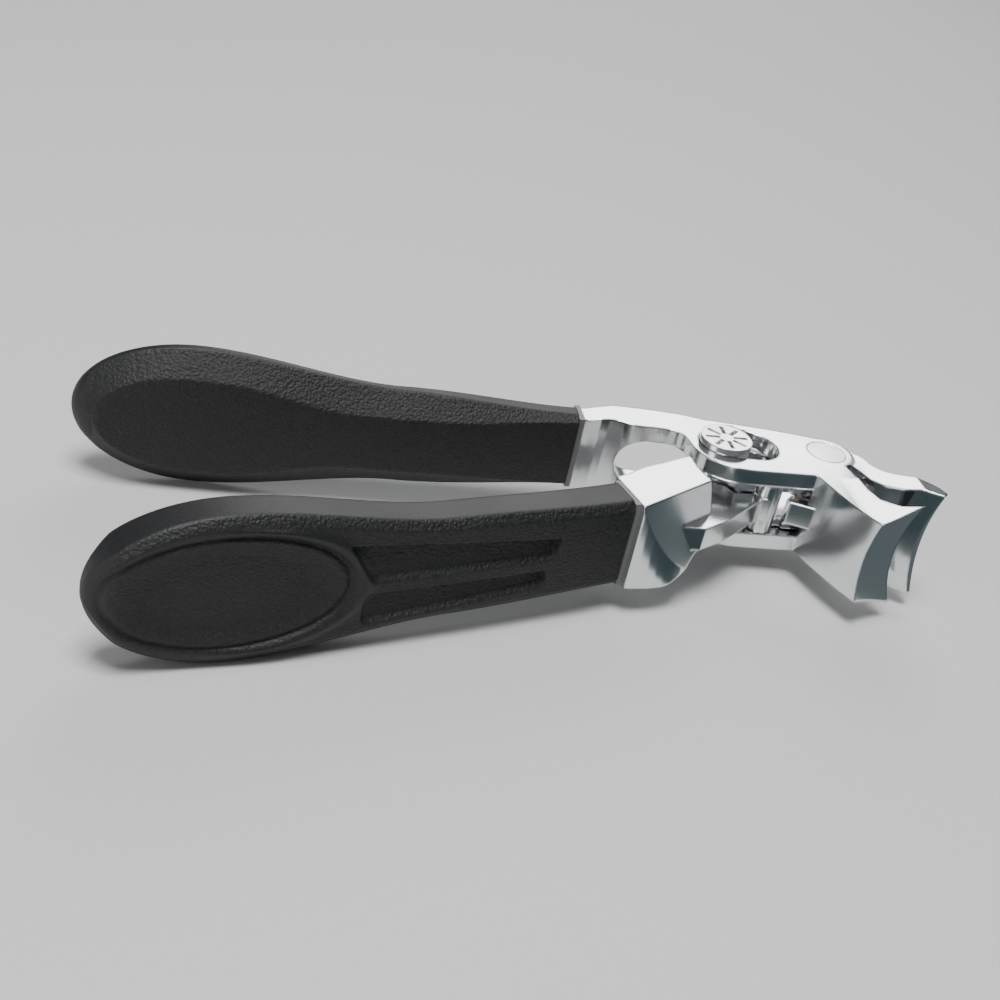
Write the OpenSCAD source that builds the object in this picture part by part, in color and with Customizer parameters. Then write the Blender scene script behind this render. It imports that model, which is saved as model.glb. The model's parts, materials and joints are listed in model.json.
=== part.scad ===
// Wide-jaw nail clipper with plier handles.
// Seen from above, +X runs from the grips to the jaws, the rear handle lies at +Y
// and the front handle at -Y. Every pivot axis is parallel to Z, and the clipper
// lies on its side on the plane z = 0, below the centre of its own box.

/* [Handles] */
// Length of each soft grip
grip_len = 61; // [50:1:80]
// Half height of the rear grip where the metal enters it
rear_mouth_half = 5.1; // [4.8:0.1:5.6]
// Half height of the front grip where the metal enters it
front_mouth_half = 5.7; // [5.6:0.1:6.5]
// Half height of a grip at its waist
grip_waist_half = 6.3; // [5:0.1:7]
// Half height of a grip at its bulb
grip_bulb_half = 9; // [7.5:0.1:10.5]
// Half thickness of the rear grip where the metal enters it
rear_mouth_deep = 2.1; // [1.9:0.1:2.6]
// Half thickness of the front grip where the metal enters it
front_mouth_deep = 2.8; // [2.4:0.1:3.4]
// Half thickness of the rear grip along its middle and its bulb
rear_deep = 3.1; // [2.8:0.1:3.8]
// Half thickness of the front grip along its middle and its bulb
front_deep = 2.6; // [2.5:0.1:3.4]
// Wall of the soft grip
grip_wall = 1; // [0.8:0.1:1.2]
// How far the middle of the rear grip bows towards the front one
rear_bow = 0.9; // [0:0.1:1.2]
// How far the middle of the front grip bows away from the rear one
front_bow = 1.3; // [0:0.1:1.5]
// Angle between the two handles when the jaws are open
handle_spread = 17; // [14:0.5:20]

/* [Head] */
// Half height of the cheeks, from the middle plane to the outer face
cheek_half = 5.5; // [5.3:0.1:7]
// Thickness of each cheek plate
cheek_wall = 2.1; // [1.6:0.1:2.2]
// Thickness of each ear of the rear jaw
ear_wall = 1.5; // [1.2:0.1:1.6]
// Gap between two plates that slide on each other
plate_gap = 0.2; // [0.1:0.05:0.25]
// Distance from the jaw pivot to the link rivet
link_reach = 13.6; // [13.2:0.1:15]
// Width of both jaws
jaw_width = 14.3; // [12.5:0.1:17]
// Distance from the jaw pivot to the ends of the cutting edges
edge_reach = 15.7; // [15:0.1:17]
// How far the middle of a cutting edge is hollowed back from its ends
edge_hollow = 1.1; // [0.6:0.1:1.5]

/* [Motion] */
// Angle that the front handle turns from open to closed
squeeze_travel = 18; // [15:0.5:19]
// Angle that the rear jaw turns from open to closed
jaw_travel = 16; // [14:0.5:18]

/* [Rivets] */
// Radius of the flush head of the jaw rivet
jaw_head_r = 2.45; // [2.1:0.05:2.6]
// Radius of the shank of the jaw rivet
jaw_shank_r = 1.7; // [1.4:0.05:1.8]
// Radius of the notched head of the link rivet
link_head_r = 3.2; // [2.8:0.1:3.3]
// Radius of the shank of the link rivet
link_shank_r = 1.5; // [1.2:0.05:1.6]
// How far the head of the link rivet stands above the cheek
link_head_rise = 0.9; // [0.5:0.1:1.2]
// Radius of the knuckle at the end of the front lever
knuckle_r = 1.6; // [1.4:0.05:1.7]
// Radius of the fulcrum pin
fulcrum_r = 0.9; // [0.7:0.05:1]
// Radial clearance between a pin and the piece that turns on it
run_gap = 0.05; // [0.03:0.01:0.08]

/* [Hidden] */
$fn = 48;
// Overlap that joins two solids of one piece
weld = 0.01;
cheek_in = cheek_half - cheek_wall;
ear_out = cheek_in - plate_gap;
ear_in = ear_out - ear_wall;
tongue_half = ear_in - plate_gap;
jaw_half = jaw_width / 2;
pin_half = cheek_half - 0.7;

// Pivots, in plan, counted from the jaw pivot
jaw_pivot = [0, 0];
link_pivot = [-link_reach, 0];
fulcrum = [-8.2, -4.5];
cheek_front_y = fulcrum[1] - knuckle_r;

// The cutting edge of the front jaw lies along this direction from the jaw pivot
edge_angle = -63.8;
blade_gap_angle = 0.4;
rear_edge_angle = edge_angle + jaw_travel + blade_gap_angle;
hollow_r = (jaw_half * jaw_half + edge_hollow * edge_hollow) / (2 * edge_hollow);
hollow_centre = edge_reach - edge_hollow + hollow_r;

// Where each handle starts, in plan, and which way it runs
rear_mouth = [-30.4, 6.1];
rear_run = 179;
front_mouth = [-29, -13.2];
front_run = rear_run + handle_spread;

// Sections along a grip, as shares of its length
bulb_start = 0.76;
body_steps = 16;
cap_steps = 9;
ring_steps = 28;
tang_half = [0.7, 2.6];
core_wall = 1.1;
core_lip = 0.7;
lip_step = 0.5;

function plan_turn(p, a) = [p[0] * cos(a) - p[1] * sin(a), p[0] * sin(a) + p[1] * cos(a)];
function about(p, c, a) = c + plan_turn(p - c, a);
function bow(a, b, c, d, n) = [for (i = [1 : n]) let (t = i / n, s = 1 - t)
    s * s * s * a + 3 * s * s * t * b + 3 * s * t * t * c + t * t * t * d];
function ease(t) = t * t * (3 - 2 * t);
function blend(a, b, t) = a + (b - a) * ease(max(0, min(1, t)));
function grow(s, share) = sqrt(max(0, 1 - pow(max(0, (s - share) / (1 - share)), 2)));

// Half height and half thickness of a grip at share s of its length
waist_at = 0.36;
function half_height(s, mouth) = s < waist_at ? blend(mouth[1], grip_waist_half, s / waist_at)
    : blend(grip_waist_half, grip_bulb_half, (s - waist_at) / (bulb_start - waist_at))
        * grow(s, bulb_start);
deep_at = 0.3;
deep_round = 0.84;
function half_deep(s, mouth) = blend(mouth[0], mouth[3], s / deep_at) * grow(s, deep_round);
stations = concat([for (i = [0 : body_steps]) bulb_start * i / body_steps],
    [for (i = [1 : cap_steps]) bulb_start + (1 - bulb_start) * sin(86 * i / cap_steps)]);
function sag(s, bow_by) = bow_by * 4 * s * (1 - s);
function squared(v, n) = sign(v) * pow(abs(v), 2 / n);
section_power = 3.2;
function ring(u, mid, deep, high) = [for (k = [0 : ring_steps - 1]) let (a = 360 * k / ring_steps)
    [u, mid + deep * squared(cos(a), section_power), high * squared(sin(a), section_power)]];
// Rings of a shell that stays "inset" inside the grip, from u = start on
function rings(mouth, inset, start) = let (long = grip_len - inset)
    [for (s = stations) ring(start + (long - start) * s, sag(s, mouth[2]),
        max(0.3, half_deep(s, mouth) - inset), max(0.3, half_height(s, mouth) - inset))];
rear_mouth_size = [rear_mouth_deep, rear_mouth_half, rear_bow, rear_deep];
front_mouth_size = [front_mouth_deep, front_mouth_half, front_bow, front_deep];

module shell_of(list) {
    n = len(list[0]);
    m = len(list);
    points = [for (r = list) each r];
    sides = [for (j = [0 : m - 2], k = [0 : n - 1]) let (a = j * n + k, b = j * n + (k + 1) % n)
        each [[a, a + n, b], [b, a + n, b + n]]];
    first = [[for (k = [0 : n - 1]) k]];
    last = [[for (k = [n - 1 : -1 : 0]) (m - 1) * n + k]];
    polyhedron(points, concat(sides, first, last));
}

// Box of the whole clipper, which fixes the origin
function plan_of(list, c, a) = [for (r = list) each [for (p = r) c + plan_turn([p[0], p[1]], a)]];
rear_box = plan_of(rings(rear_mouth_size, 0, 0), rear_mouth, rear_run);
front_box = plan_of(rings(front_mouth_size, 0, 0), front_mouth, front_run);
tip_wide = 1.5;
tip_x = edge_reach * cos(rear_edge_angle) - tip_wide * sin(rear_edge_angle);
box_x = [min([for (p = rear_box) p[0]]), tip_x];
box_y = [min([for (p = front_box) p[1]]), max([for (p = rear_box) p[1]])];
origin = [(box_x[0] + box_x[1]) / 2, (box_y[0] + box_y[1]) / 2, -max(grip_bulb_half, jaw_half)];

module placed() { translate(-origin) children(); }
module both_sides() {
    children();
    mirror([0, 0, 1]) children();
}
module layer(z0, z1) { translate([0, 0, z0]) linear_extrude(z1 - z0) children(); }
module post(c, r, z0, z1) { layer(z0, z1) translate(c) circle(r); }
// Straight bar from a to b, and a round-ended slot from a to b
module bar(a, b, half) {
    run = b - a;
    translate(a) rotate(atan2(run[1], run[0])) translate([0, -half]) square([norm(run), 2 * half]);
}
module slot(a, b, r) {
    translate(a) circle(r);
    translate(b) circle(r);
    bar(a, b, r);
}
module along_rear() { translate([rear_mouth[0], rear_mouth[1], 0]) rotate(rear_run) children(); }
module along_front() { translate([front_mouth[0], front_mouth[1], 0]) rotate(front_run) children(); }

// Tang of a lever, leaning so that it stays inside a bowed grip
tang_len = 28;
tang_root = 1;
tang_aim = 0.4;
module tang(bow_by, longer) {
    rotate(atan2(sag(tang_aim, bow_by), tang_aim * grip_len))
        translate([-tang_root - longer, -tang_half[0], -tang_half[1]])
        cube([tang_root + tang_len + 2 * longer, 2 * tang_half[0], 2 * tang_half[1]]);
}

// Rear lever: cheeks, arm and front jaw
arm_deep = 1.5;
arm_rear_y = rear_mouth[1] + arm_deep;
arm_front_y = rear_mouth[1] - arm_deep;
arm_x = rear_mouth[0] - 1;
cheek_left = link_pivot - [4.6, 0];
boss_r = 3.4;
inside_boss = boss_r - 0.1;
boss_gap = 0.25;
kink = [-3.4, cheek_front_y];
jaw_root_angle = -65;
rear_edge = concat(
    [[arm_x, arm_rear_y], [arm_x + 3, arm_rear_y]],
    bow([arm_x + 3, arm_rear_y], [-25, 7.5], [-18, 7.4], [link_pivot[0] - 1, 5.8], 20),
    bow([link_pivot[0] - 1, 6], [-10, 5.1], [-3, 4.6], inside_boss * [cos(52), sin(52)], 14));
front_edge = concat(
    [kink, [link_pivot[0] + 2.6, cheek_front_y]],
    bow([link_pivot[0] + 2.6, cheek_front_y], [link_pivot[0] - 1.5, cheek_front_y],
        cheek_left + [0.2, -4], cheek_left, 20),
    bow(cheek_left, cheek_left + [-0.2, 2.6], [-20, 2.6], [-23.5, 2.7], 14),
    bow([-23.5, 2.7], [-26, 2.9], [-27, arm_front_y], [arm_x + 2, arm_front_y], 6),
    [[arm_x, arm_front_y]]);
jaw_inner = [inside_boss * [cos(jaw_root_angle), sin(jaw_root_angle)], [1.75, -4.6], [1.85, -6.2],
    [2.05, -8.8], [2.7, -11.3], [4.5, -13.2]];
edge_end = edge_reach * [cos(edge_angle), sin(edge_angle)];
edge_out = [cos(edge_angle), sin(edge_angle)];
edge_side = [sin(edge_angle), -cos(edge_angle)];
end_face = 6.4;
beyond_edge = [edge_end + 0.5 * (edge_end - jaw_inner[5]), edge_end + edge_out + end_face * edge_side];
jaw_outer = bow(edge_end + end_face * edge_side, [-1.2, -13.2], [-2.1, -9.5], kink, 24);

module cheek_plan() {
    polygon(concat(rear_edge, jaw_inner, beyond_edge, jaw_outer, front_edge));
    circle(boss_r);
}
module jaw_plan(root_y) {
    intersection() {
        polygon(concat([[kink[0], root_y], [1.7, root_y]], [for (i = [1 : 5]) jaw_inner[i]],
            beyond_edge, jaw_outer));
        translate([-20, root_y - 30]) square([40, 30]);
    }
}
// Opens the cheek for the head of the link rivet along its whole path
window_spare = 3.7;
window_gap = 0.15;
bar_inset = 0.05;
module head_window() {
    window_r = link_head_r + window_gap;
    far = link_pivot + [window_spare, 0];
    stops = [link_pivot, far, about(link_pivot, fulcrum, -squeeze_travel)];
    for (p = stops) translate(p) circle(window_r);
    for (i = [0 : 2]) bar(stops[i], stops[(i + 1) % 3], window_r - bar_inset);
    polygon(stops);
}
// Concave end that both cutting edges share, turned to angle a
module edge_cutter(a) {
    rotate(a) translate([hollow_centre, 0, 0]) rotate([90, 0, 0])
        cylinder(r = hollow_r, h = 60, center = true, $fn = 120);
}
flare_from = -0.6;
arm_half = rear_mouth_half - 0.4;
flare = bow([flare_from, cheek_half], [2.4, cheek_half], [5, jaw_half - 0.7],
    [edge_end[0] + 0.3, jaw_half], 14);
arm_taper = [[-100, arm_half], [arm_x + 1.5, arm_half], [arm_x + 5, cheek_half],
    [flare_from, cheek_half]];
side_top = concat(arm_taper, flare, [[20, jaw_half]]);
side_low = [for (i = [len(side_top) - 1 : -1 : 0]) [side_top[i][0], -side_top[i][1]]];
// Profile seen from the front, in X and Z, carried through the whole depth of the clipper
module side_profile() { rotate([90, 0, 0]) translate([0, 0, -60]) linear_extrude(120) children(); }
tongue_stub = [[-5.8, cheek_front_y - 0.1], [-5.8, -5.2], [-4, -5.2], [-1.5, -6], [-1.5, -8]];
arm_block = 4.6;
arch_short = 0.5;
// Solid root of the arm, which opens into the space between the cheeks with a round arch
module arm_arch() {
    arch_x = rear_mouth[0] + arm_block + cheek_in;
    difference() {
        layer(-cheek_in - weld, cheek_in + weld) intersection() {
            cheek_plan();
            translate([rear_mouth[0], 0]) square([arm_block + cheek_in - arch_short, 20]);
        }
        translate([arch_x, 0, 0]) rotate([90, 0, 0]) cylinder(r = cheek_in, h = 60, center = true);
    }
}
module rear_lever() {
    color([0.86, 0.87, 0.89]) placed() difference() {
        intersection() {
            union() {
                both_sides() layer(cheek_in, cheek_half) difference() {
                    cheek_plan();
                    translate([-80, -40]) square([80 + rear_mouth[0], 80]);
                }
                layer(-jaw_half, jaw_half) jaw_plan(cheek_front_y);
                layer(-tongue_half, tongue_half) polygon(tongue_stub);
                arm_arch();
                along_rear() tang(rear_bow, 0);
            }
            side_profile() polygon(concat(side_top, side_low));
        }
        both_sides() post(jaw_pivot, jaw_head_r, cheek_in + cheek_wall / 2, cheek_half + 1);
        post(jaw_pivot, jaw_shank_r, -cheek_half - 1, cheek_half + 1);
        post(fulcrum, fulcrum_r, -pin_half, pin_half);
        layer(-cheek_half - 1, cheek_half + 1) head_window();
        edge_cutter(edge_angle);
    }
}

// Grips: a hard core on each tang, with a soft sleeve over it
module grip_core(mouth) {
    difference() {
        union() {
            shell_of(rings(mouth, grip_wall, 0.6));
            translate([core_lip / 2, 0, 0])
                cube([core_lip, 2 * mouth[0] - lip_step, 2 * mouth[1] - lip_step], center = true);
        }
        tang(mouth[2], 0.5);
    }
}
module grip_sleeve(mouth) {
    difference() {
        shell_of(rings(mouth, 0, 0.7));
        shell_of(rings(mouth, grip_wall, 0.6));
    }
}
module rear_grip_core() { color([0.1, 0.1, 0.11]) placed() along_rear() grip_core(rear_mouth_size); }
module rear_grip() { color([0.05, 0.05, 0.055]) placed() along_rear() grip_sleeve(rear_mouth_size); }
module front_grip_core() { color([0.1, 0.1, 0.11]) placed() along_front() grip_core(front_mouth_size); }
module front_grip() { color([0.05, 0.05, 0.055]) placed() along_front() grip_sleeve(front_mouth_size); }

// Rivet of the jaws, with its washers and the bush that carries the spring
module jaw_rivet() {
    color([0.8, 0.81, 0.83]) placed() {
        post(jaw_pivot, jaw_shank_r, -cheek_half, cheek_half);
        both_sides() post(jaw_pivot, jaw_head_r, cheek_in + cheek_wall / 2, cheek_half);
    }
}
washer_r = 3.1;
module jaw_washers() {
    color([0.75, 0.72, 0.6]) placed() both_sides() layer(ear_out + 0.02, cheek_in) difference() {
        circle(washer_r);
        circle(jaw_shank_r + run_gap);
    }
}
bush_r = 2.15;
module spring_bush() {
    color([0.72, 0.6, 0.35]) placed() layer(-ear_in + 0.05, ear_in - 0.05) difference() {
        circle(bush_r);
        circle(jaw_shank_r + run_gap);
    }
}
wire_r = 0.3;
coil_r = bush_r + wire_r + 0.1;
coils = 3;
coil_steps = 16;
coil_rise = 0.75;
function coil_at(t) = let (a = 360 * t - 100)
    [coil_r * cos(a), coil_r * sin(a), coil_rise * (t - coils / 2)];
spring_path = [for (i = [0 : coils * coil_steps]) coil_at(i / coil_steps)];
wire_sides = 8;
module return_spring() {
    color([0.7, 0.7, 0.72]) placed() {
        path = spring_path;
        rings_list = [for (i = [0 : len(path) - 1]) let (
            before = path[max(0, i - 1)], after = path[min(len(path) - 1, i + 1)],
            d = (after - before) / norm(after - before),
            side = [path[i][0], path[i][1], 0] / coil_r, up = cross(d, side))
            [for (k = [0 : wire_sides - 1]) let (a = 360 * k / wire_sides)
                path[i] + wire_r * (cos(a) * side + sin(a) * up)]];
        shell_of(rings_list);
    }
}
module fulcrum_pin() { color([0.8, 0.81, 0.83]) placed() post(fulcrum, fulcrum_r, -pin_half, pin_half); }

// Rear jaw: two ears with a cam slot each, and the blade
cam_steps = 6;
// Where the moving point p, carried by the front lever, lies as the ears see it
function seen_by_ears(p, share) =
    about(about(p, fulcrum, -squeeze_travel * share), jaw_pivot, jaw_travel * share);
module trail(p, r) {
    for (i = [0 : cam_steps - 1])
        slot(seen_by_ears(p, i / cam_steps), seen_by_ears(p, (i + 1) / cam_steps), r);
}
lobe_y = -4.75;
ear_boss_r = 3.6;
slot_boss_r = link_shank_r + 1.4;
module ear_plan() {
    tail = seen_by_ears(link_pivot, 1);
    difference() {
        union() {
            circle(ear_boss_r);
            translate(link_pivot) circle(slot_boss_r);
            polygon([[0, ear_boss_r], link_pivot + [0, slot_boss_r], link_pivot - [0, slot_boss_r],
                tail - [0.6, link_shank_r + 1.2], tail - [-1.5, link_shank_r + 1.2], [-5.4, -4.2], [-5.2, lobe_y],
                [-3.2, lobe_y], [-2.4, lobe_y + 0.5], [-2.2, -3], [0, -ear_boss_r]]);
        }
        circle(jaw_shank_r + run_gap);
    }
}
rear_neck_r = ear_boss_r + 0.05;
rear_inner = [rear_neck_r * [cos(-44), sin(-44)], [3.3, -3.9], [3.75, -5.4], [4.8, -7.5],
    [6.5, -9.3], [8.6, -10.5]];
rear_end = edge_reach * [cos(rear_edge_angle), sin(rear_edge_angle)];
rear_out = [cos(rear_edge_angle), sin(rear_edge_angle)];
rear_side = [-sin(rear_edge_angle), cos(rear_edge_angle)];
rear_edge_wide = 1.3;
rear_bevel = 1.2;
rear_corner = rear_end + rear_edge_wide * rear_side - rear_bevel * rear_out;
rear_outer = concat([rear_corner],
    bow(rear_corner, [9.4, -7.4], [5.4, -6.2], [4.8, -1.6], 20),
    bow([4.8, -1.6], [4.6, -0.4], [4.2, 0.8], rear_neck_r * [cos(24), sin(24)], 4));
rear_beyond = rear_end + 0.5 * (rear_end - rear_inner[5]);
rear_side_top = [[0, 5.2], [4, 5.3], [8.4, jaw_half], [30, jaw_half]];
rear_side_low = [for (i = [3 : -1 : 0]) [rear_side_top[i][0], -rear_side_top[i][1]]];
module rear_jaw() {
    color([0.84, 0.85, 0.87]) placed() difference() {
        union() {
            both_sides() layer(ear_in, ear_out) ear_plan();
            difference() {
                intersection() {
                    layer(-jaw_half, jaw_half) polygon(concat(rear_inner, [rear_beyond], rear_outer));
                    side_profile() polygon(concat(rear_side_top, rear_side_low));
                }
                post(jaw_pivot, boss_r + boss_gap, -jaw_half, jaw_half);
            }
            both_sides() layer(ear_in, ear_out) intersection() {
                circle(6);
                polygon(concat([[1.5, 0]], rear_inner,
                    [for (i = [1 : len(rear_outer) - 1]) rear_outer[i]]));
            }
        }
        post(jaw_pivot, jaw_shank_r + run_gap, -jaw_half, jaw_half);
        edge_cutter(rear_edge_angle);
        layer(-jaw_half, jaw_half) trail(link_pivot, link_shank_r + run_gap);
        layer(-jaw_half, jaw_half) trail(fulcrum, knuckle_r + plate_gap);
    }
}

// Front lever: plate, tongue and knuckle
shoulder_r = 11.1;
shoulder_far = about(fulcrum + [-shoulder_r, 0], fulcrum, 38);
plate_rear = concat([[-32, -11.2]],
    bow([-29.4, -10.1], [-27.6, -8.4], [-25.6, -6.9], [-23.4, -6], 5), [[-20.2, -4.2]]);
plate_front = concat([shoulder_far],
    bow([-17, -12.6], [-20.5, -15], [-24, -16.6], [-28.4, -16.5], 10), [[-32, -17.5]]);
// The front of the neck leans: it is cut by a plane through its top edge, with this normal
neck_edge = [-28.1, -16.2, cheek_half];
neck_lean = [0.541, -0.776, 0.325];
module neck_keep() {
    translate(neck_edge) rotate(atan2(neck_lean[1], neck_lean[0])) rotate([0, acos(neck_lean[2]), 0])
        translate([-60, -60, -60]) cube([120, 120, 60]);
}
step_from = -17.6;
step_low = [-23.4, -cheek_half];
knuckle_half = cheek_in - 0.1;
tongue_end_r = 3.3;
// Room that the grip takes, in plan
module along_front_plan() {
    translate(front_mouth) rotate(front_run) translate([0, -20]) square([60, 40]);
}
module front_lever() {
    color([0.86, 0.87, 0.89]) placed() difference() {
        union() {
            intersection() {
                layer(-cheek_half, cheek_half) difference() {
                    polygon(concat(plate_rear, [about(fulcrum + [-shoulder_r, 0], fulcrum, -4)], plate_front));
                    translate(fulcrum) circle(shoulder_r - 0.2);
                    along_front_plan();
                }
                side_profile() polygon(concat(
                    [[-60, cheek_half], [step_from, cheek_half], [step_from, -tongue_half]],
                    bow([step_from, -tongue_half], [-20.2, -tongue_half], [-20.8, -cheek_half],
                        step_low, 8),
                    [[-60, -cheek_half]]));
                neck_keep();
            }
            layer(-tongue_half, tongue_half) difference() {
                union() {
                    polygon([[-23, -8], [-20.2, -4.2], link_pivot + [-1, 3.2], link_pivot + [1.6, 2.9],
                        fulcrum + [1.2, 1], fulcrum + [0.3, -knuckle_r + 0.02],
                        fulcrum + [-1.2, -knuckle_r], [-15.7, -11.5], [-19, -13.6], [-23, -13.6]]);
                    translate(link_pivot) circle(tongue_end_r);
                    translate(fulcrum) circle(knuckle_r);
                }
                translate(jaw_pivot) circle(ear_boss_r + 0.3);
            }
            post(fulcrum, knuckle_r, -knuckle_half, knuckle_half);
            along_front() tang(front_bow, 0);
        }
        post(fulcrum, fulcrum_r + run_gap, -cheek_half, cheek_half);
        post(link_pivot, link_shank_r, -cheek_half, cheek_half);
    }
}

// Link rivet: notched head above, plain head below
notch_from = 0.9;
notch_half = 0.26;
notch_deep = 0.45;
notch_rim = 0.5;
low_head_less = 0.3;
module link_rivet() {
    top = cheek_half + link_head_rise;
    rest = ear_out + 0.1;
    color([0.82, 0.83, 0.85]) placed() {
        post(link_pivot, link_shank_r, -rest, rest);
        difference() {
            post(link_pivot, link_head_r, rest, top);
            for (i = [0 : 7]) translate([link_pivot[0], link_pivot[1], top]) rotate(45 * i)
                translate([notch_from, -notch_half, -notch_deep])
                cube([link_head_r - notch_rim - notch_from, 2 * notch_half, 1]);
        }
        post(link_pivot, link_head_r, -top + low_head_less, -rest);
    }
}
module link_washers() {
    color([0.75, 0.72, 0.6]) placed() both_sides() layer(tongue_half, ear_in - 0.05) difference() {
        translate(link_pivot) circle(2.7);
        translate(link_pivot) circle(link_shank_r);
    }
}

rear_lever();
rear_grip_core();
rear_grip();
jaw_rivet();
jaw_washers();
spring_bush();
return_spring();
fulcrum_pin();
rear_jaw();
front_lever();
front_grip_core();
front_grip();
link_rivet();
link_washers();
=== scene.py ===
# %% [markdown]
# # Nail clipper with plier handles
# The clipper is a finger-long pair of pliers. Two cast and polished steel levers carry soft black
# grips, a notched rivet links them to the rear jaw, and both jaws end in a hollow-ground blade.
# The steel comes from the CAD model as it is. This lesson gives it its finish, and makes the two
# grips anew, because their creases, thumb rest and grooves are a surface that solids don't have.

# %% Load the CAD frame
import json
import bpy
import numpy as np
from mathutils import Matrix, Vector


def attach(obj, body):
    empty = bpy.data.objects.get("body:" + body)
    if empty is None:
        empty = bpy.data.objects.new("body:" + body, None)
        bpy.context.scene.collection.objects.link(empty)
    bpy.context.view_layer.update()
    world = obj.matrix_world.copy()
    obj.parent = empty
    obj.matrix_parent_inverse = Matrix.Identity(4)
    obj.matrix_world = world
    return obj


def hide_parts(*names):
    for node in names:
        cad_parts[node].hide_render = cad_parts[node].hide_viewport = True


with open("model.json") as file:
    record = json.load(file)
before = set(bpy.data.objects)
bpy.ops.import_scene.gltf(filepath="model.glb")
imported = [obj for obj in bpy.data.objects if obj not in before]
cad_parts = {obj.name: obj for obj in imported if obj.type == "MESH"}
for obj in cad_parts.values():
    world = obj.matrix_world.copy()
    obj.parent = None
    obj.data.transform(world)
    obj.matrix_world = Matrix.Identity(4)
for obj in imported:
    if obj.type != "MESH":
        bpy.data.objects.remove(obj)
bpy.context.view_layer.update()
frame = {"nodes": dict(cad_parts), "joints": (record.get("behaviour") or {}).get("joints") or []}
nodes = frame["nodes"]
pivot = np.array([j for j in frame["joints"] if j["name"] == "jaw_close"][0]["pos_m"])
MM = 0.001

# %% [markdown]
# ## Where each handle runs
# All places are counted in millimetres from the rivet of the jaws, as a maker would lay them out.
# A grip starts at its mouth, where the steel goes in, and runs along its own axis: u is the
# distance from the mouth, v the distance towards the thumb side, and z the height. Writing the
# grips in (u, v, z) keeps their formulas free of the angle at which the handle stands.

# %% Handle axes
GRIP_LEN = 61.0
MOUTH_GAP = 0.7
END_GAP = 0.05
REAR = {"mouth": (-30.4, 6.1), "run": 179.0}
FRONT = {"mouth": (-29.0, -13.2), "run": 196.0}


def to_row(handle, u, v, z):
    """Point = mouth + u along the handle + v across it + z up, moved to the clipper's frame."""
    a = np.radians(handle["run"])
    x = handle["mouth"][0] + u * np.cos(a) - v * np.sin(a)
    y = handle["mouth"][1] + u * np.sin(a) + v * np.cos(a)
    return np.stack([x, y, z], -1) * MM + pivot


def along(s):
    """u at share s of a grip: it starts behind the lip of its core and ends at its full length."""
    return MOUTH_GAP + (GRIP_LEN - MOUTH_GAP - END_GAP) * s


print("rear mouth:", to_row(REAR, 0.0, 0.0, 0.0).round(4))
print("front mouth:", to_row(FRONT, 0.0, 0.0, 0.0).round(4))

# %% [markdown]
# ## From a grid of points to a closed skin
# A grip is one closed surface: rings of points, one ring for each station along the handle. The
# rings are joined by four-sided faces, and the two ends are closed with a fan round a centre
# point. All of it is array work, so a ring more or less costs nothing.

# %% Skin helpers
def skin(name, grid, marks=()):
    """Closed mesh from grid[station, around, xyz]: quads between rings, fans at both ends."""
    rings, around = grid.shape[:2]
    points = np.concatenate([grid.reshape(-1, 3), [grid[0].mean(0)], [grid[-1].mean(0)]])
    i = np.arange(rings - 1)[:, None] * around
    k = np.arange(around)[None, :]
    n = (k + 1) % around
    quads = np.stack([i + k, i + n, i + around + n, i + around + k], -1).reshape(-1, 4)
    ring = np.arange(around)
    nxt = (ring + 1) % around
    last = (rings - 1) * around
    first_fan = np.stack([np.full(around, rings * around), nxt, ring], -1)
    last_fan = np.stack([np.full(around, rings * around + 1), last + ring, last + nxt], -1)
    faces = quads.tolist() + first_fan.tolist() + last_fan.tolist()
    mesh = bpy.data.meshes.new(name)
    mesh.from_pydata(points.tolist(), [], faces)
    mesh.polygons.foreach_set("use_smooth", np.ones(len(mesh.polygons), bool))
    for mark, values in marks:
        attribute = mesh.attributes.new(mark, "FLOAT", "POINT")
        flat = np.concatenate([values.reshape(-1), [values[0].mean(), values[-1].mean()]])
        attribute.data.foreach_set("value", flat.astype(np.float32))
    piece = bpy.data.objects.new(name, mesh)
    bpy.context.scene.collection.objects.link(piece)
    return piece


def volume_sign(grid):
    """Sign of the enclosed volume, from the sum of the signed areas of the middle ring."""
    middle = grid[len(grid) // 3]
    nxt = np.roll(middle, -1, 0)
    along = grid[len(grid) // 3 + 1].mean(0) - middle.mean(0)
    return np.sign(np.cross(middle - middle.mean(0), nxt - middle.mean(0)).sum(0) @ along)


def outward(grid, marks):
    """The same grid with its rings turned round if its faces would look inwards."""
    if volume_sign(grid) < 0:
        return grid[:, ::-1], [(m, v[:, ::-1]) for m, v in marks]
    return grid, marks


# %% Smooth steps and stations
def ease(t):
    """0 below 0, 1 above 1, and a smooth S between: 3 t squared less 2 t cubed."""
    t = np.clip(t, 0, 1)
    return t * t * (3 - 2 * t)


def blend(a, b, t):
    """From a to b along the smooth S."""
    return a + (b - a) * ease(t)


def round_off(s, start):
    """Quarter ellipse that falls from 1 at share start to 0 at the end of the grip."""
    return np.sqrt(np.clip(1 - (np.clip(s - start, 0, 1) / (1 - start)) ** 2, 0, 1))


def stations(count, tail):
    """Shares of the grip's length: even at first, then ever closer towards the round end."""
    even = np.linspace(0, 0.86, count)
    return np.concatenate([even[:-1], 0.86 + 0.14 * np.sin(np.linspace(0, 89.3, tail) * np.pi / 180)])


def sides(corners, counts, soften):
    """Rings from corners[station, corner, vz]: each side is cut evenly, then every point is
    averaged with its neighbours, so that a corner becomes a small radius."""
    after = np.roll(corners, -1, 1)
    parts = []
    for k, n in enumerate(counts):
        w = (np.arange(n) / n)[None, :, None]
        parts.append(corners[:, k, None] * (1 - w) + after[:, k, None] * w)
    ring = np.concatenate(parts, 1)
    for _ in range(soften):
        ring = (np.roll(ring, 1, 1) + 2 * ring + np.roll(ring, -1, 1)) / 4
    return ring


share = stations(300, 60)
print("stations along a grip:", len(share))

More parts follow.
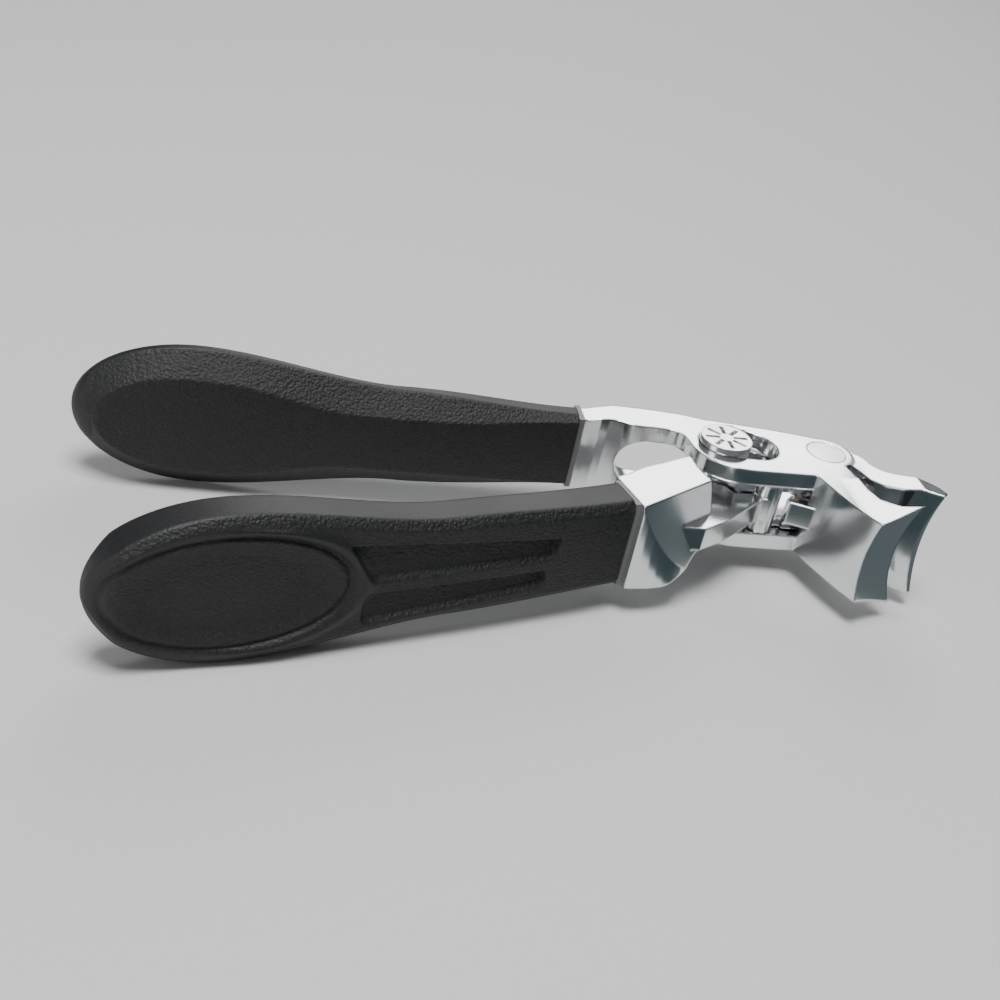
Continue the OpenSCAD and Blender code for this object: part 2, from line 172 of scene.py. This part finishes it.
# %% [markdown]
# ## Rear grip
# The rear grip is a flattened bar with a bulb for the little finger. Its long face is a leather-
# grained oval with a crisp crease, then a grained bevel rises to a narrow smooth band on the top.
# I write its section as an eight-cornered ring whose corners move along the handle: the face
# ends before the bulb does, so the bevel runs round it like the rim of a spoon.

# %% Rear grip outline
THINNEST = 0.04
WAIST_AT, WAIST_HALF = 0.36, 6.3
BULB_AT, BULB_HALF = 0.76, 8.95


def half_height(s, mouth):
    """Half height: from the mouth to a waist, up to the bulb, then round off."""
    to_waist = blend(mouth, WAIST_HALF, s / WAIST_AT)
    to_bulb = blend(WAIST_HALF, BULB_HALF, (s - WAIST_AT) / (BULB_AT - WAIST_AT))
    return np.where(s < WAIST_AT, to_waist, to_bulb) * round_off(s, BULB_AT)


def sag(s, depth):
    """How far a grip bows at share s: a parabola that is depth high in the middle."""
    return depth * 4 * s * (1 - s)


def leather_ring(counts, rounds):
    """1 on the leather sides of a ring, 0 on its smooth bands (sides 2 and 6), blurred."""
    on = np.isin(np.repeat(np.arange(8), counts), (0, 1, 3, 4, 5, 7)).astype(float)
    for _ in range(rounds):
        on = (np.roll(on, 1) + 2 * on + np.roll(on, -1)) / 4
    return on


def rear_corners(s):
    """Eight corners of the rear section: face, bevel and band on each side."""
    high = half_height(s, 5.05)
    deep = blend(2.05, 3.05, s / 0.3) * np.clip((1.0 - s) / 0.052, 0, 1) ** 0.45
    widest = 0.775
    bulb = 6.0 * np.sqrt(np.clip(1 - ((s - widest) / 0.182) ** 2, 0, 1))
    neck = blend(4.35, 3.55, s / 0.3) + blend(0, 2.45, (s - 0.46) / 0.26)
    face = np.where(s < widest, neck, bulb)
    face = np.clip(np.minimum(face, high - 0.35), THINNEST, None)
    band = blend(1.25, 0.45, s / 0.45) * np.clip(deep / 3.05, 0.1, 1)
    z = np.stack([-face, face, high, high, face, -face, -high, -high], -1)
    v = np.stack([deep, deep, band, -band, -deep, -deep, -band, band], -1) + sag(s, 0.9)[:, None]
    return np.stack([v, np.where(np.abs(z) < THINNEST, THINNEST * np.sign(z), z)], -1)


def round_end(ring, s):
    """Near the end of a grip, a section of any shape turns into an ellipse of the same size."""
    low, top = ring.min(1, keepdims=True), ring.max(1, keepdims=True)
    middle, half = (low + top) / 2, np.maximum((top - low) / 2, 0.001)
    from_middle = (ring - middle) / half
    angle = np.arctan2(from_middle[..., 1], from_middle[..., 0])
    oval = middle + half * np.stack([np.cos(angle), np.sin(angle)], -1)
    w = ease((s - 0.925) / 0.06)[:, None, None]
    return ring * (1 - w) + oval * w


rear_counts = (44, 26, 12, 26, 30, 26, 12, 26)
rear_ring = round_end(sides(rear_corners(share), rear_counts, 3), share)
smooth_end = 1 - ease((share - 0.955) / 0.03)
rear_grain = leather_ring(rear_counts, 4)[None, :] * smooth_end[:, None]
print("rear ring points:", rear_ring.shape)

# %% Rear grip piece
def handle_grid(handle, ring, s):
    """Rings in (v, z) placed at their stations along a handle."""
    u = np.repeat(along(s)[:, None], ring.shape[1], 1)
    return to_row(handle, u, ring[..., 0], ring[..., 1])


grid, marks = outward(handle_grid(REAR, rear_ring, share), [("grain", rear_grain)])
rear_sleeve = skin("rear_grip_sleeve", grid, marks)
print("rear grip faces:", len(rear_sleeve.data.polygons))

# %% [markdown]
# ## Front grip
# The front grip is boxier, because the thumb presses on it: a broad smooth top, a leather-grained
# face, an oval thumb rest with a raised rim, and two long sunk grooves that taper away from
# it. I sink and raise the face with height functions of (u, z), which add up like a carving.

# %% Front grip section
def front_corners(s):
    """Eight corners of the front section: a box with its four edges cut."""
    high = half_height(s, 5.65)
    deep = blend(2.75, 2.55, s / 0.3) * np.clip((1.0 - s) / 0.05, 0, 1) ** 0.45
    cut = np.minimum(0.75, deep * 0.4)
    drop = np.minimum(1.0, high * 0.35)
    face, band = high - drop, deep - cut
    z = np.stack([-face, face, high, high, face, -face, -high, -high], -1)
    v = np.stack([deep, deep, band, -band, -deep, -deep, -band, band], -1)
    return np.stack([v + sag(s, 1.3)[:, None], z], -1)


front_counts = (96, 8, 20, 8, 40, 8, 20, 8)
fine_share = stations(390, 60)
front_ring = sides(front_corners(fine_share), front_counts, 3)
print("front ring points:", front_ring.shape)

# %% Carving the thumb face
def ramp(x, wide):
    """0 outside an edge, 1 inside it, over a wall of the given width."""
    return ease(x / wide + 0.5)


def groove(u, z, left, right, top, low, depth, wall):
    """A sunk pocket between two lines in z and two slanting ends in u. It is deepest under its
    sharp top edge, rises a little towards the bottom, and ends there in a ledge, wall wide."""
    inside = ramp(top - z, 0.3) * ramp(u - right, 0.5) * ramp(left - u, 0.6)
    slope = np.clip((z - low) / (top - low), 0, 1)
    ledge = ramp(z - low, wall)
    return -depth * inside * ledge * (0.62 + 0.38 * slope)


def from_thumb(u, z):
    """Distance from the middle of the oval thumb rest, counted so that its outline is at 1."""
    return np.sqrt(((u - 47.0) / 12.6) ** 2 + (z / 6.6) ** 2)


def thumb_rest(u, z):
    """Oval bowl with a thin sunk line round it and a raised rim outside."""
    far = from_thumb(u, z)
    bowl = -0.75 * (1 - ease((far - 0.62) / 0.36))
    line = -0.35 * np.exp(-((far - 1.0) / 0.035) ** 2)
    rim = 0.42 * np.exp(-((far - 1.13) / 0.075) ** 2) * ease((52 - u) / 10)
    return bowl + line + rim


def carve(u, z):
    """All height changes of the thumb face, in millimetres, out of it."""
    top_one = 2.3 + 0.092 * (u - 9.9)
    left_one = 31.9 + 0.62 * (z + 0.45)
    one = groove(u, z, left_one, 10.3 - 0.15 * z, top_one, -0.05, 0.95, 1.0)
    low_two = -3.5 - 0.085 * (u - 10.9)
    two = groove(u, z, 32.6, 11.0 + 0.2 * (z + 3), -1.75, low_two, 0.85, 0.9)
    return one + two + thumb_rest(u, z)


u_at = np.repeat(along(fine_share)[:, None], front_ring.shape[1], 1)
on_face = np.zeros(front_ring.shape[1])
on_face[1:front_counts[0]] = 1.0
fade = ease((np.abs(front_ring[:, :1, 1]) - np.abs(front_ring[..., 1])) / 0.7 + 0.15)
height = carve(u_at, front_ring[..., 1]) * on_face[None, :] * np.clip(fade, 0, 1)
front_ring[..., 0] += height * (1 - ease((fine_share - 0.965) / 0.03))[:, None]
print("deepest cut:", round(float(height.min()), 2), "highest rim:", round(float(height.max()), 2))

# %% Front grip piece
far = from_thumb(u_at, front_ring[..., 1])
smooth_rim = np.exp(-((far - 1.12) / 0.12) ** 2) * on_face[None, :]
smooth_end = 1 - ease((fine_share - 0.95) / 0.03)
front_grain = leather_ring(front_counts, 5)[None, :] * (1 - 0.8 * smooth_rim) * smooth_end[:, None]
grid, marks = outward(handle_grid(FRONT, front_ring, fine_share), [("grain", front_grain)])
front_sleeve = skin("front_grip_sleeve", grid, marks)
print("front grip faces:", len(front_sleeve.data.polygons))

# %% [markdown]
# ## Finishes
# Every finish is built from nodes on object coordinates, so it keeps its scale on any piece.
# The steel is cast, ground and polished: nearly a mirror, with faint polishing lines, a slow
# change of gloss and softened edges. A bevel node rounds the shading of each edge by a fraction
# of a millimetre, which gives the thin bright line that polished steel has there.

# %% Node helpers
def new_material(name, **settings):
    """A material with one Principled shader whose own sockets are set directly."""
    material = bpy.data.materials.new(name)
    material.use_nodes = True
    shader = material.node_tree.nodes["Principled BSDF"]
    for socket, value in settings.items():
        shader.inputs[socket.replace("_", " ")].default_value = value
    return material, material.node_tree, shader


def node(tree, kind, links=(), **values):
    """A node with its properties and input values set and its inputs linked."""
    made = tree.nodes.new(kind)
    for key, value in values.items():
        if hasattr(made, key):
            setattr(made, key, value)
        else:
            made.inputs[key.replace("_", " ")].default_value = value
    for socket, source in links:
        tree.links.new(source, made.inputs[socket])
    return made


def noise(tree, where, scale, detail):
    """Noise texture at a place."""
    return node(tree, "ShaderNodeTexNoise", [("Vector", where)], Scale=scale, Detail=detail)


def map_range(tree, value, low, high, to_low, to_high):
    """A value between low and high moved to lie between to_low and to_high."""
    made = node(tree, "ShaderNodeMapRange", [("Value", value)])
    bounds = {"From Min": low, "From Max": high, "To Min": to_low, "To Max": to_high}
    for socket, number in bounds.items():
        made.inputs[socket].default_value = number
    return made.outputs["Result"]


def colours(tree, share, first, second):
    """Colour between two grey or tinted values, by share."""
    made = node(tree, "ShaderNodeMix", [("Factor", share)], data_type="RGBA")
    made.inputs["A"].default_value = (*first, 1)
    made.inputs["B"].default_value = (*second, 1)
    return made.outputs["Result"]


def relief(tree, shader, height, strength, deep, normal=None, invert=False):
    """Bump from a height, deep millimetres at most, into the shader's normal."""
    links = [("Height", height)] + ([("Normal", normal)] if normal else [])
    made = node(tree, "ShaderNodeBump", links, invert=invert)
    made.inputs["Strength"].default_value = strength
    made.inputs["Distance"].default_value = deep * MM
    tree.links.new(made.outputs["Normal"], shader.inputs["Normal"])


def steel(name, tint, rough, edge, brush):
    """Polished steel: base tint, roughness, radius of its edges and how strong its lines are."""
    material, tree, shader = new_material(name, Metallic=1.0, Base_Color=(*tint, 1), Roughness=rough)
    where = node(tree, "ShaderNodeTexCoord").outputs["Object"]
    stretch = node(tree, "ShaderNodeMapping", [("Vector", where)])
    stretch.inputs["Scale"].default_value = (260, 260, 5200)
    lines = noise(tree, stretch.outputs["Vector"], 1.0, 3.0)
    cloud = noise(tree, where, 140.0, 4.0)
    gloss = map_range(tree, cloud.outputs["Fac"], 0.3, 0.7, rough * 0.7, rough * 1.5)
    tree.links.new(gloss, shader.inputs["Roughness"])
    edges = node(tree, "ShaderNodeBevel", samples=6)
    edges.inputs["Radius"].default_value = edge * MM
    relief(tree, shader, lines.outputs["Fac"], brush, 0.01, normal=edges.outputs["Normal"])
    return material


polished = steel("polished_cast_steel", (0.80, 0.81, 0.82), 0.13, 0.4, 0.25)
ground = steel("ground_rivet_steel", (0.78, 0.78, 0.79), 0.2, 0.12, 0.5)
dull = steel("stamped_washer_steel", (0.6, 0.59, 0.57), 0.32, 0.05, 0.8)
wire = steel("drawn_spring_wire", (0.55, 0.55, 0.57), 0.28, 0.03, 0.8)
brass = steel("turned_brass", (0.72, 0.55, 0.26), 0.28, 0.08, 0.7)
print("steel finishes:", [m.name for m in (polished, ground, dull, wire, brass)])

# %% [markdown]
# ## Soft black grip
# The sleeve is a soft-touch rubber. Its mould is etched with leather grain on the faces and
# bevels, and left smooth on the bands. One material does both: the "grain" attribute that the
# grips carry turns the leather on and off. The grain is a pebble pattern (cells with rounded
# tops), broken up by finer noise. Its colour holds painted light: a painted highlight on the top
# of each pebble and painted shade in the gaps between pebbles.

# %% Grip material
def soft_grip():
    """Black soft-touch rubber with leather grain where the grain attribute is 1."""
    material, tree, shader = new_material("soft_grip_rubber", Roughness=0.5, IOR=1.5)
    where = node(tree, "ShaderNodeTexCoord").outputs["Object"]
    warp = noise(tree, where, 1500.0, 2.0)
    shift = node(tree, "ShaderNodeVectorMath", [(0, warp.outputs["Color"])], operation="SCALE")
    shift.inputs["Scale"].default_value = 0.35 * MM
    moved = node(tree, "ShaderNodeVectorMath", [(0, where), (1, shift.outputs["Vector"])], operation="ADD")
    cells = node(tree, "ShaderNodeTexVoronoi", [("Vector", moved.outputs["Vector"])], Scale=2600.0)
    fine = noise(tree, where, 5200.0, 3.0)
    pebble = node(tree, "ShaderNodeMath", [(0, cells.outputs["Distance"]), (1, fine.outputs["Fac"])],
                  operation="SUBTRACT")
    mask = node(tree, "ShaderNodeAttribute", attribute_name="grain").outputs["Fac"]
    masked = node(tree, "ShaderNodeMath", [(0, pebble.outputs["Value"]), (1, mask)], operation="MULTIPLY")
    relief(tree, shader, masked.outputs["Value"], 0.8, 0.12, invert=True)
    gloss = map_range(tree, mask, 0.0, 1.0, 0.46, 0.52)
    smudge = noise(tree, where, 90.0, 4.0)
    uneven = node(tree, "ShaderNodeMath", [(0, smudge.outputs["Fac"]), (2, gloss)],
                  operation="MULTIPLY_ADD")
    uneven.inputs[1].default_value = 0.12
    tree.links.new(uneven.outputs["Value"], shader.inputs["Roughness"])
    # Painted highlight and painted shade: the colour is lighter on each pebble's top and darker in the
    # gaps between pebbles, over the whole sleeve
    shade = map_range(tree, pebble.outputs["Value"], -0.5, 0.4, 0.0, 1.0)
    painted_pebble_light = colours(tree, shade, (0.011, 0.0115, 0.013), (0.004, 0.004, 0.0045))
    tree.links.new(painted_pebble_light, shader.inputs["Base Color"])
    return material


def hard_core():
    """Moulded core: dark grey plastic with a fine spark-eroded texture."""
    material, tree, shader = new_material("moulded_core", Roughness=0.42)
    where = node(tree, "ShaderNodeTexCoord").outputs["Object"]
    fine = noise(tree, where, 4200.0, 3.0).outputs["Fac"]
    tint = colours(tree, fine, (0.10, 0.10, 0.10), (0.17, 0.17, 0.165))
    tree.links.new(tint, shader.inputs["Base Color"])
    relief(tree, shader, fine, 0.3, 0.03)
    return material


rubber = soft_grip()
core = hard_core()
print("grip finishes:", rubber.name, core.name)

# %% [markdown]
# ## Every piece gets its finish
# The steel pieces, the rivets, the spring and the cores are the CAD solids themselves, so they
# only need a material. The two sleeves made above stand in for the plain CAD sleeves: each
# rides on the body of its handle, and the CAD sleeve that it replaces is hidden.

# %% Give every piece its finish and its body
FINISH = {
    "rear_lever": polished, "front_lever": polished, "rear_jaw": polished,
    "jaw_rivet": ground, "link_rivet": ground, "fulcrum_pin": ground,
    "jaw_washers": dull, "link_washers": dull, "spring_bush": brass, "return_spring": wire,
    "rear_grip_core": core, "front_grip_core": core, "rear_grip": rubber, "front_grip": rubber,
}
for name, material in FINISH.items():
    slots = nodes[name].data.materials
    slots.clear()
    slots.append(material)
SLEEVES = ((rear_sleeve, "rear_handle", "rear_grip"), (front_sleeve, "front_handle", "front_grip"))
for piece, body, cad in SLEEVES:
    piece.data.materials.append(rubber)
    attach(piece, body)
    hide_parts(cad)
print("finished nodes:", len(FINISH))

# %% [markdown]
# ## Floor, light and camera
# The clipper lies on a plain pale floor. A wide soft box stands high behind it, so that the tops
# of the cheeks mirror it and shine. A second one hangs above the front of the grips and models
# the leather and the grooves. A weak fill from the left keeps the dark faces readable.

# %% Floor
bpy.ops.mesh.primitive_plane_add(size=6, location=(0, 0, -0.0002))
floor = bpy.context.object
floor.name = "floor"
paper, paper_tree, paper_shader = new_material("pale_paper", Roughness=0.85)
paper_where = node(paper_tree, "ShaderNodeTexCoord").outputs["Object"]
fibre = noise(paper_tree, paper_where, 900.0, 4.0)
pulp = colours(paper_tree, fibre.outputs["Fac"], (0.56, 0.56, 0.56), (0.60, 0.60, 0.595))
paper_tree.links.new(pulp, paper_shader.inputs["Base Color"])
floor.data.materials.append(paper)

# %% Light
def soft_box(name, at, aim, wide, power):
    """A square area light at a place, turned towards a point; sizes in metres, power in watts."""
    lamp = bpy.data.lights.new(name, "AREA")
    lamp.size = wide
    lamp.energy = power
    holder = bpy.data.objects.new(name, lamp)
    holder.location = at
    holder.rotation_mode = "QUATERNION"
    holder.rotation_quaternion = (Vector(aim) - Vector(at)).to_track_quat("-Z", "Y")
    bpy.context.scene.collection.objects.link(holder)


soft_box("rear_high", (0.17, 0.55, 0.40), (0.01, 0, 0), 0.36, 1.8)
soft_box("overhead", (-0.06, -0.12, 0.6), (0, 0, 0), 0.24, 5.0)
soft_box("side_fill", (-0.46, -0.2, 0.2), (0, 0, 0.01), 0.22, 0.5)

# %% [markdown]
# ## Dark cards
# Dark cards stand for the dark surroundings that polished steel needs to look polished: two lie
# at the front and the right, and one stands at the right. Only reflections see them, so they
# throw no shadow. They belong to the studio and aren't part of the clipper.

# %% Dark cards
def dark_card(name, corners, cloth):
    """A flat dark card that only shows in reflections; its corners in order, in metres."""
    mesh = bpy.data.meshes.new(name)
    mesh.from_pydata(corners, [], [tuple(range(len(corners)))])
    card = bpy.data.objects.new(name, mesh)
    bpy.context.scene.collection.objects.link(card)
    card.data.materials.append(cloth)
    card.visible_camera = False
    card.visible_diffuse = False
    card.visible_shadow = False


dark_cloth = new_material("dark_cloth", Roughness=1.0, Base_Color=(0.012, 0.026, 0.03, 1))[0]
grey_cloth = new_material("grey_cloth", Roughness=1.0, Base_Color=(0.05, 0.068, 0.072, 1))[0]
LIFT, WALL_HIGH, FAR = 0.0004, 0.13, 0.25
front_outline = [(0.012, -0.06), (0.012, -0.3), (FAR, -0.3), (FAR, -0.03), (0.085, -0.02), (0.022, -0.006)]
side_outline = [(0.052, -0.012), (0.085, -0.02), (FAR, -0.03), (FAR, 0.12), (0.062, 0.12)]
wall_outline = [(FAR, -0.3, 0.0), (FAR, 0.12, 0.0), (FAR, 0.12, WALL_HIGH), (FAR, -0.3, WALL_HIGH)]
dark_card("front_card", [(x, y, LIFT) for x, y in front_outline], dark_cloth)
dark_card("side_card", [(x, y, LIFT) for x, y in side_outline], grey_cloth)
dark_card("right_card", wall_outline, dark_cloth)

# %% World
world = bpy.data.worlds.new("studio")
world.use_nodes = True
background = world.node_tree.nodes["Background"]
background.inputs["Color"].default_value = (0.62, 0.65, 0.68, 1)
background.inputs["Strength"].default_value = 0.24
bpy.context.scene.world = world

# %% Camera
def look(yaw, pitch, roll):
    """Camera axes: right and up turned by roll about the line of sight."""
    a, p, r = np.radians([yaw, pitch, roll])
    ahead = np.array([np.sin(a) * np.cos(p), np.cos(a) * np.cos(p), -np.sin(p)])
    level = np.array([np.cos(a), -np.sin(a), 0])
    up = np.cross(level, ahead)
    right = np.cos(r) * level + np.sin(r) * up
    return np.stack([right, np.cross(-ahead, right), -ahead], 1)


eye = pivot + np.array([-81.62, -147.7, 86.01]) * MM
lens = bpy.data.cameras.new("camera")
lens.lens = 52.5
lens.sensor_width = 36
lens.clip_start = 0.01
camera = bpy.data.objects.new("camera", lens)
camera.matrix_world = Matrix.Translation(eye) @ Matrix(look(15.69, 30.66, 12.26).tolist()).to_4x4()
bpy.context.scene.collection.objects.link(camera)
bpy.context.scene.camera = camera
print("camera at", eye.round(3))
